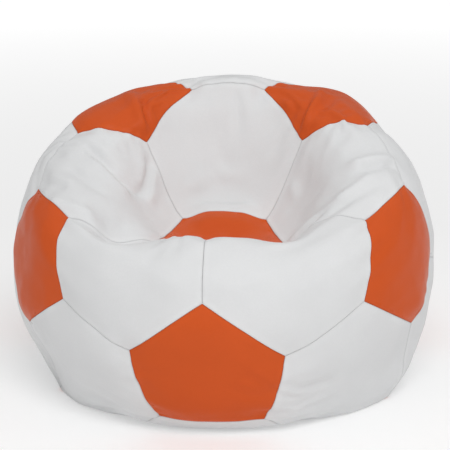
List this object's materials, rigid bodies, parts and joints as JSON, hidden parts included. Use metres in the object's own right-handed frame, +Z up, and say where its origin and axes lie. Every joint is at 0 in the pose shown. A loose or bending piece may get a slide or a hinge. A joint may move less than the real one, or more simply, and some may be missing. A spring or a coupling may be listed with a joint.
{
  "type": "bean bag chair",
  "caption": "Round bean bag chair sewn like a football from orange pentagon and white hexagon panels, slumped with a seat hollow, filled with beads through a zip at the rear.",
  "frame": {"origin": "on the floor, under the middle of the bag's bounding box", "axes": "+Z up; the seat faces -Y; +X is to the right as seen from the front"},
  "size_m": [1.029, 1.0272, 0.6946],
  "materials": {
    "orange_leatherette": "satin, fine grain",
    "white_leatherette": "satin, fine grain",
    "liner_cloth": "plain woven polyester",
    "beads": "matte expanded beads",
    "zip_tape": "woven tape",
    "zip_coil": "glossy nylon",
    "zip_metal": "satin nickel"
  },
  "bodies": {
    "bag": {"pentagon_front": "orange_leatherette", "pentagon_seat": "orange_leatherette", "pentagon_side_left": "orange_leatherette", "pentagon_side_right": "orange_leatherette", "pentagon_top_left": "orange_leatherette", "pentagon_top_right": "orange_leatherette", "pentagon_base_left": "orange_leatherette", "pentagon_base_right": "orange_leatherette", "pentagon_rear_left": "orange_leatherette", "pentagon_rear_right": "orange_leatherette", "pentagon_rear_upper": "orange_leatherette", "pentagon_rear_lower": "orange_leatherette", "hexagon_front_left": "white_leatherette", "hexagon_front_right": "white_leatherette", "hexagon_seat_left": "white_leatherette", "hexagon_seat_right": "white_leatherette", "hexagon_backrest": "white_leatherette", "hexagon_lower_left": "white_leatherette", "hexagon_lower_right": "white_leatherette", "hexagon_base_front": "white_leatherette", "hexagon_base_rear": "white_leatherette", "hexagon_flank_low_left": "white_leatherette", "hexagon_flank_low_right": "white_leatherette", "hexagon_flank_high_left": "white_leatherette", "hexagon_flank_high_right": "white_leatherette", "hexagon_crown": "white_leatherette", "hexagon_shoulder_left": "white_leatherette", "hexagon_shoulder_right": "white_leatherette", "hexagon_rear_left": "white_leatherette", "hexagon_rear_right": "white_leatherette", "hexagon_base_left": "white_leatherette", "hexagon_base_right": "white_leatherette", "inner_liner": "liner_cloth", "bead_fill": "beads", "zip_tape_left": "zip_tape", "zip_tape_right": "zip_tape", "zip_coil_left": "zip_coil", "zip_coil_right": "zip_coil", "zip_top_stop": "zip_metal", "zip_bottom_stop": "zip_metal"},
    "zip_slider": {"zip_slider": "zip_metal"},
    "zip_pull_tab": {"zip_pull_tab": "zip_metal"}
  },
  "joints": [
    {"name": "zip_slide", "type": "slide", "parent": "bag", "child": "zip_slider", "axis": [0, -0.297, -0.9549], "range_m": [0, 0.16]},
    {"name": "pull_tab_swing", "type": "hinge", "parent": "zip_slider", "child": "zip_pull_tab", "pos_m": [0, 0.50687, 0.24198], "axis": [1, 0, 0], "range_deg": [-15, 130]}
  ]
}
